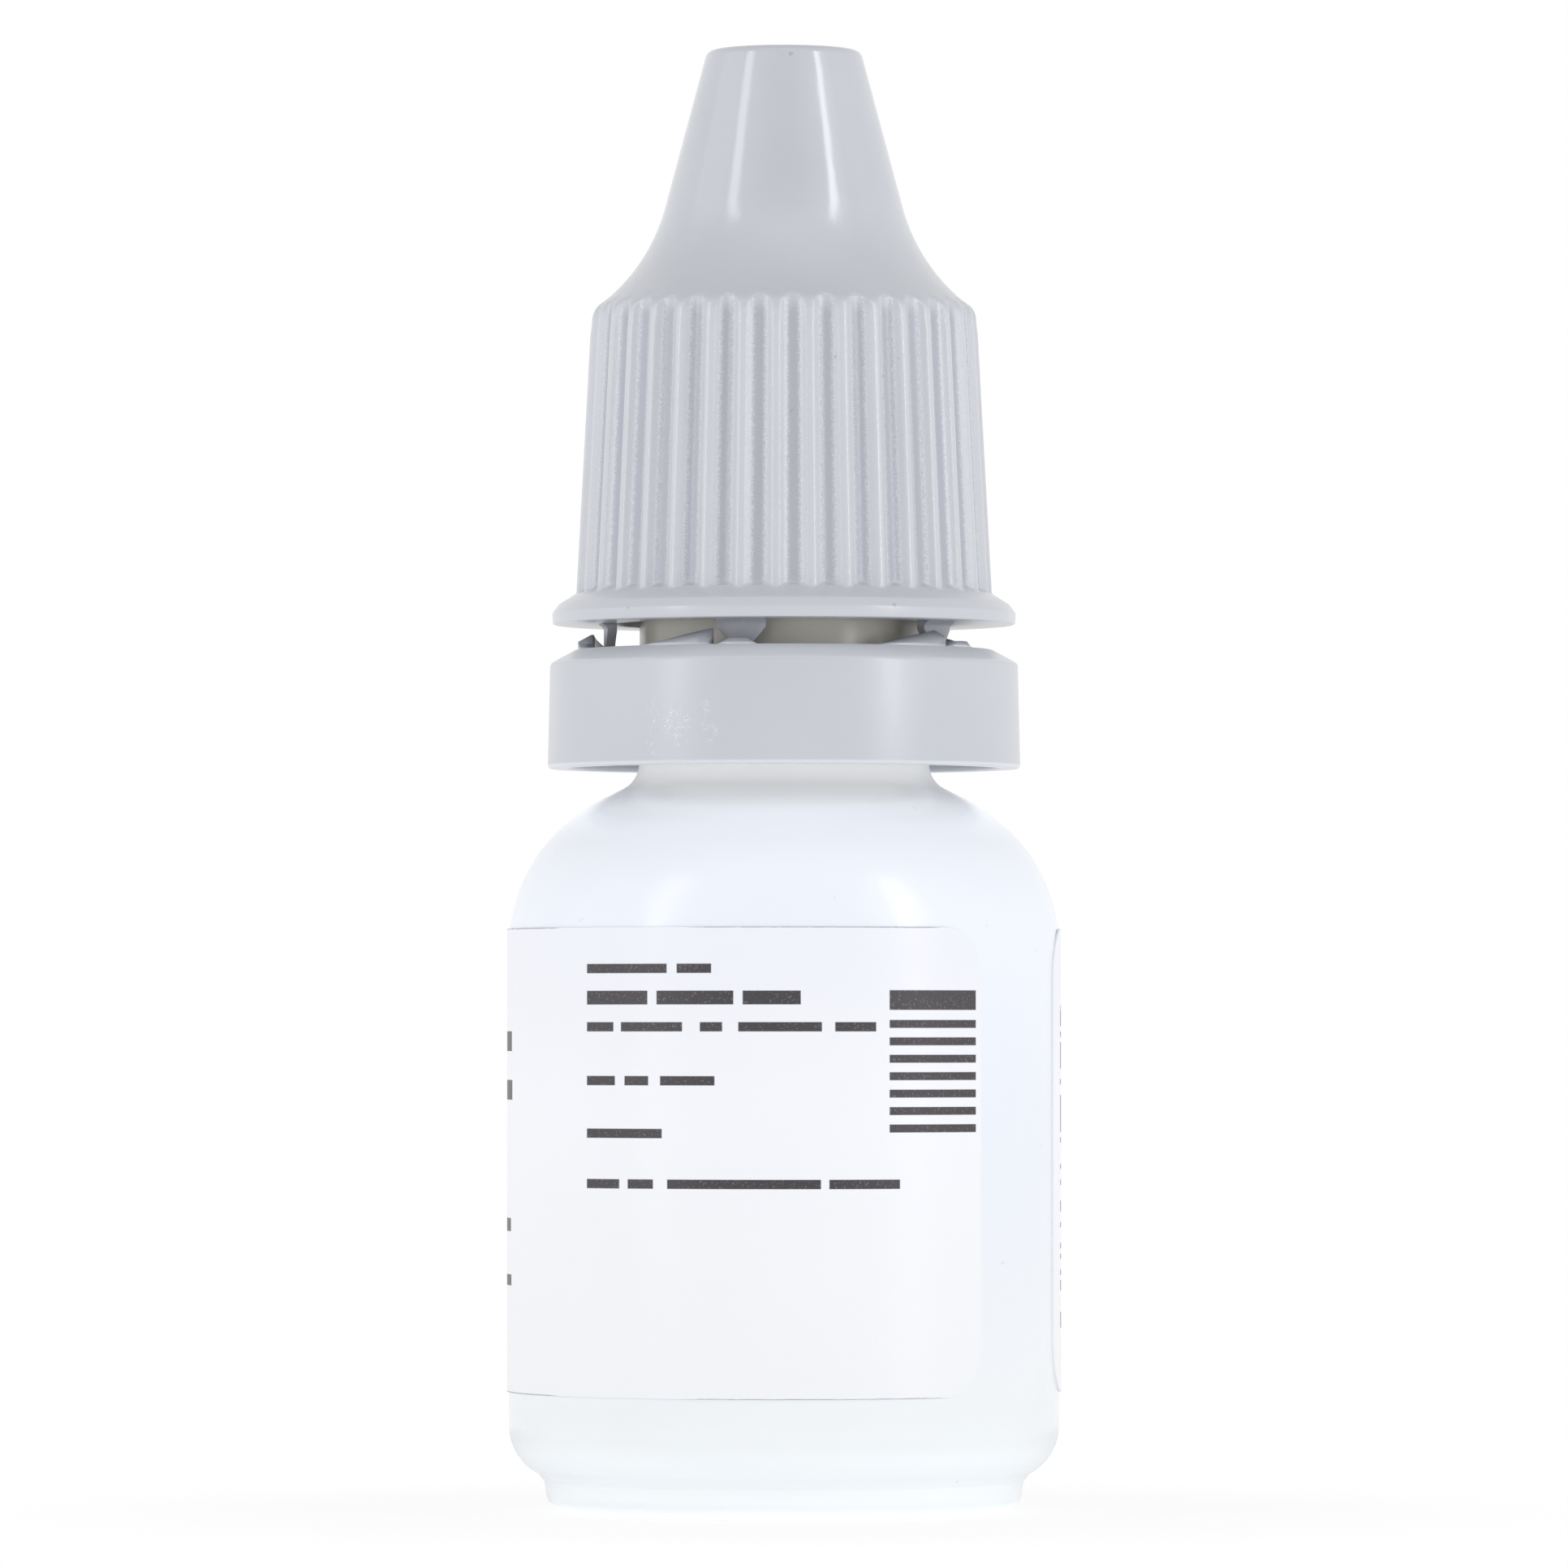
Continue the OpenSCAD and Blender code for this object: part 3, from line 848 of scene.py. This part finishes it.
def cap_shape():
    """The cap's closed section turned round Z, from the sealing pin's tip over the inside
    to the outside and its crown. The grip grooves cut the outside, the flange's cone
    fills their feet, and the thread stands in from the bore. Also gives each point's grip,
    the share of a groove's depth that is cut there."""
    angles = (np.arange(RIBS)[:, None] + RIB_COLUMNS[None, :]).ravel() * 360 / RIBS + RIB_TURN
    outside = cap_outside()
    profile, height = outside[:, :1], outside[:, 1:]
    cut = groove_cut(angles[None, :], height)
    cone = FLANGE_R - 0.3 - (height - FLANGE_EDGE_Z) / FLANGE_SLOPE
    on_skirt = height < 56
    blend = 0.03 + 0.07 * smooth_step((height - 53.4) / 0.7)
    radius = np.where(on_skirt, soft_min(profile, skirt_r(height) + 0.007 - cut, blend), profile)
    radius = np.where(height < 43, soft_max(radius, cone, 0.03), radius)
    grip = cut / GROOVE_DEPTH * smooth_step((profile - radius) / 0.05)
    inside = cap_inside()
    inner_r, inner_z = inside[:, :1], inside[:, 1:]
    in_bore = on_rows(inner_r, inner_z, CAP_BORE_R, CAP_ROWS_LOW, CAP_ROWS_HIGH)
    lift = thread(angles[None, :], inner_z, NECK_THREAD_Z - CAP_THREAD_DROP - LEAD / 2, -90)
    inner_r = inner_r - in_bore * lift * (CAP_BORE_R - CAP_CREST_R)
    rows = np.vstack([np.broadcast_to(inner_r, (len(inside), len(angles))), radius])
    heights = np.vstack([inner_z, height])
    shape = around(rows, heights, angles, closed=False)
    grip_all = np.vstack([np.zeros((len(inside), len(angles))), grip])
    return shape, np.concatenate([[0], grip_all[1:-1].ravel(), [0]])


def on_ring(angle, section):
    """A section's (r, z) points stood up at an angle round Z."""
    section = np.asarray(section, float)
    return stood_up(section[:, 0], angle, section[:, 1])


def tooth_shape(at):
    """A wedge that climbs with rising angle and ends upright. Its roof also rises inwards."""
    sections = []
    for share in np.linspace(0, 1, 7):
        low = RING_TOP_Z + 0.4 * share + 0.01
        high = RING_TOP_Z + 0.72 * share ** 0.85 + 0.01
        section = [(TOOTH_R, STAND_Z), (STAND_R, STAND_Z), (STAND_R, low), (8.8, high), (TOOTH_R, high)]
        sections.append(on_ring(at + TOOTH_AT - TOOTH_SPAN * (1 - share), section))
    return tube_of_sections(sections)


def stop_shape(at):
    """A low block with sloping ends on the ring's edge."""
    sections = []
    for off, rise in ((-5.4, 0.01), (-2.4, 0.26), (0, 0.27), (2.7, 0.26), (5.4, 0.01)):
        top = RING_TOP_Z + rise
        section = [(STOP_R, STAND_Z), (STAND_R, STAND_Z), (STAND_R - 0.02, top), (STOP_R, top)]
        sections.append(on_ring(at + STOP_AT + off, section))
    return tube_of_sections(sections)


def bridge_shape(at):
    """A thin tab from the ring to the cap. Its sides draw in below the cap and it
    spreads outwards at the top, as plastic does that was pulled from a mould."""
    sections = []
    for share in np.linspace(-1, 1, 13):
        low = RING_TOP_Z + 0.8 * max(0, abs(share) - 0.4) / 0.6
        section = [
            (BRIDGE_R, low),
            (BRIDGE_OUT_R, low),
            (BRIDGE_OUT_R, CAP_Z - BRIDGE_FLARE),
            (BRIDGE_OUT_R + 0.08, CAP_Z - 0.12),
            (BRIDGE_OUT_R + BRIDGE_FLARE, CAP_Z),
            (BRIDGE_R, CAP_Z),
        ]
        sections.append(on_ring(at + BRIDGE_AT + share * BRIDGE_SPAN / 2, section))
    return tube_of_sections(sections)


def in_sets(make):
    """One copy of a shape for each set on the ring."""
    return [make(k * PITCH) for k in range(SETS)]


def ring_shape():
    """The band's closed section turned round Z, with the teeth and stops set into its top."""
    section = rounded([
        (8.1, SLEEVE_Z, 0),
        (8.5, SLEEVE_Z, 0.15),
        (8.5, 38.18, 0.3),
        (9.65, 38.18, 0.3),
        (9.8, RING_Z, 0.1),
        (RING_R + 0.05, RING_Z, 0.16),
        (RING_R - 0.06, 38.56, 0.25),
        (9.5, RING_TOP_Z, 0.1),
        (SLEEVE_R, RING_TOP_Z, 0.1),
        (SLEEVE_R, 36.6, 0.05),
        (6.95, 36.6, 0.08),
        (6.95, 36.2, 0.1),
        (SLEEVE_R, SLEEVE_Z, 0.1),
        (8.1, SLEEVE_Z, 0),
    ])[:-1]
    band = around(section[:, :1], section[:, 1:], full_turn(240), closed=True)
    return joined([band] + in_sets(tooth_shape) + in_sets(stop_shape))


def label_shape():
    """A curved sheet with round corners. Each row's ends draw in near the top and bottom
    by corner - sqrt(corner^2 - (corner - distance)^2), and an inner sheet closes it."""
    tall = LABEL_HIGH - LABEL_LOW
    edge = LABEL_CORNER * (1 - np.cos(np.linspace(0, np.pi / 2, 13)))
    middle = np.linspace(edge[-1], tall - edge[-1], 10)[1:-1]
    rise = np.concatenate([edge, middle, (tall - edge)[::-1]])
    near = np.minimum(rise, tall - rise)
    short = np.maximum(LABEL_CORNER - near, 0)
    inset = LABEL_CORNER - np.sqrt(LABEL_CORNER ** 2 - short ** 2)
    swing = np.degrees(inset / BODY_R)[:, None]
    share = np.linspace(0, 1, 200)[None, :]
    degrees = LABEL_FROM + swing + share * (LABEL_TO - LABEL_FROM - 2 * swing)
    height = LABEL_LOW + rise[:, None]
    outer, inner = (stood_up(radius, degrees, height) for radius in (BODY_R + LABEL_T, BODY_R - 0.01))
    rows, columns = degrees.shape
    number = np.arange(rows * columns).reshape(rows, columns)
    quads = np.stack([number[:-1, :-1], number[:-1, 1:], number[1:, 1:], number[1:, :-1]], axis=2)
    quads = quads.reshape(-1, 4)
    rim = np.concatenate([number[0], number[1:, -1], number[-1, -2::-1], number[-2:0:-1, 0]])
    after = np.roll(rim, -1)
    behind = rows * columns
    wall = np.column_stack([rim, rim + behind, after + behind, after])
    faces = np.vstack([quads, quads[:, ::-1] + behind, wall]).tolist()
    return np.vstack([outer.reshape(-1, 3), inner.reshape(-1, 3)]), faces


piece("bottle_body", bottle_shape(), "bottle", "bottle", bottle_paint())
piece("nozzle", dropper_shape(), "bottle", "dropper_tip", dropper_paint())
piece("wrap_label", label_shape(), "bottle", "label", label_paint(), bevel=0.035)
piece("ring_band", ring_shape(), "ring", "tamper_ring", ring_paint())
bridges = joined(in_sets(bridge_shape))
piece("ring_bridges", bridges, "ring", "break_bridges", bridge_paint(), bevel=0.04)
cap_surface, cap_grip = cap_shape()
piece("ribbed_cap", cap_surface, "cap", "screw_cap", cap_paint(), {"grip": cap_grip})


# Floor, light and camera.

# Near the bottle the floor shows FLOOR_WHITE of plain white, and the rest is its own shading,
# which goes between the two distances from the axis in FLOOR_FADE.
FLOOR_R = 80.0
FLOOR_SIDES = 96
FLOOR_WHITE = 0.88
FLOOR_FADE = (14.0, 42.0)


def white_floor():
    """A white floor. Near the bottle it shows part of its own shading, so that the bottle's
    shadow stays, and further off it is as white as what is behind it."""
    paint = Paint("white_floor")
    seen = paint.node("ShaderNodeLightPath", output="Is Camera Ray")
    far = paint.node("ShaderNodeVectorMath", {"operation": "LENGTH"}, {0: paint.place}, output="Value")
    share = FLOOR_WHITE + (1 - FLOOR_WHITE) * paint.rise(far, *FLOOR_FADE, "SMOOTHSTEP")
    plain = paint.node("ShaderNodeBsdfDiffuse", None, {"Color": (0.98, 0.98, 0.98, 1)})
    glow = paint.node("ShaderNodeEmission", None, {"Color": (1, 1, 1, 1), "Strength": 1.0})
    shader = paint.node("ShaderNodeMixShader", None, {0: seen * share, 1: plain, 2: glow})
    paint.node("ShaderNodeOutputMaterial", None, {"Surface": shader})
    mesh = bpy.data.meshes.new("floor")
    turn = np.radians(full_turn(FLOOR_SIDES))
    rim = FLOOR_R * MM * np.column_stack([np.cos(turn), np.sin(turn), 0 * turn])
    mesh.from_pydata(rim.tolist(), [], [list(range(FLOOR_SIDES))])
    mesh.materials.append(paint.material)
    floor = bpy.data.objects.new("floor", mesh)
    bpy.context.scene.collection.objects.link(floor)


def white_world(low, side, top, front):
    """A white surround, at full strength where the camera sees it. As light it is strongest
    below the horizon, as over a lit table, and weaker from above. Mirrored in the plastic,
    it is weaker in front over the camera."""
    world = bpy.data.worlds.new("studio")
    bpy.context.scene.world = world
    world.use_nodes = True
    surround = Nodes(world.node_tree)
    camera = surround.node("ShaderNodeLightPath", output="Is Camera Ray")
    glossy = surround.node("ShaderNodeLightPath", output="Is Glossy Ray")
    through = surround.node("ShaderNodeLightPath", output="Is Transmission Ray")
    seen = surround.maths("MAXIMUM", camera, through)
    _, ahead, up = surround.split(surround.node("ShaderNodeTexCoord", output="Generated"))
    below = surround.rise(up, 0.05, -0.02)
    high = surround.rise(up, 0.3, 0.95)
    level = side + below * (low - side) + high * (top - side)
    over_camera = surround.rise(ahead, -0.6, -0.9, "SMOOTHSTEP") * surround.rise(up, 0.04, 0.22)
    mirrored = 1 - over_camera * (1 - front)
    level = level + glossy * (mirrored - level)
    strength = level + seen * (1 - level)
    white = surround.node("ShaderNodeBackground", None, {"Color": (1, 1, 1, 1), "Strength": strength})
    surround.node("ShaderNodeOutputWorld", None, {"Surface": white})


# Upright lamps, in metres. Each has its angle, the height of its top, its width and its glow.
LAMP_FAR = 0.5
LAMP_LOW = 0.03
LAMPS = {
    "left_strip": (-55, 0.52, 0.1, 2.8),
    "right_strip": (54, 0.52, 0.07, 5.4),
    "right_panel": (63, 0.52, 0.1, 0.5),
    "left_wing": (-84, 0.45, 0.32, 0.38),
    "right_wing": (84, 0.45, 0.32, 0.12),
}


def soft_box(name, angle, high, width, glow):
    """An upright lamp at an angle round the bottle, from LAMP_LOW up. Its power is
    pi x its area x the glow, the brightness that a mirror would show."""
    tall = high - LAMP_LOW
    lamp = bpy.data.lights.new(name, "AREA")
    lamp.shape = "RECTANGLE"
    lamp.size = width
    lamp.size_y = tall
    lamp.energy = math.pi * width * tall * glow
    box = bpy.data.objects.new(name, lamp)
    bpy.context.scene.collection.objects.link(box)
    turn = math.radians(angle)
    box.location = (LAMP_FAR * math.sin(turn), -LAMP_FAR * math.cos(turn), (LAMP_LOW + high) / 2)
    box.rotation_euler = (math.pi / 2, 0, turn)


# The camera stands half a metre off, a little below the bottle's middle, looking up.
CAMERA_FAR = 0.517
CAMERA_HIGH = 0.0219
LOOK_AT = 0.0331
FRAME_PIXELS = 1932
FOCAL_PIXELS = 14000
SENSOR = 36.0


def photo_camera():
    """A camera at the photograph's place, with its narrow angle of view."""
    view = bpy.data.cameras.new("camera")
    view.sensor_width = SENSOR
    view.lens = FOCAL_PIXELS * SENSOR / FRAME_PIXELS
    view.clip_start = 0.01
    view.clip_end = 20
    camera = bpy.data.objects.new("camera", view)
    bpy.context.scene.collection.objects.link(camera)
    camera.location = (0, -CAMERA_FAR, CAMERA_HIGH)
    camera.rotation_euler = (math.pi / 2 + math.atan2(LOOK_AT - CAMERA_HIGH, CAMERA_FAR), 0, 0)
    bpy.context.scene.camera = camera


white_floor()
white_world(low=1.40, side=0.86, top=0.42, front=0.25)
for lamp_name, settings in LAMPS.items():
    soft_box(lamp_name, *settings)
photo_camera()
bpy.context.scene.view_settings.view_transform = "Standard"
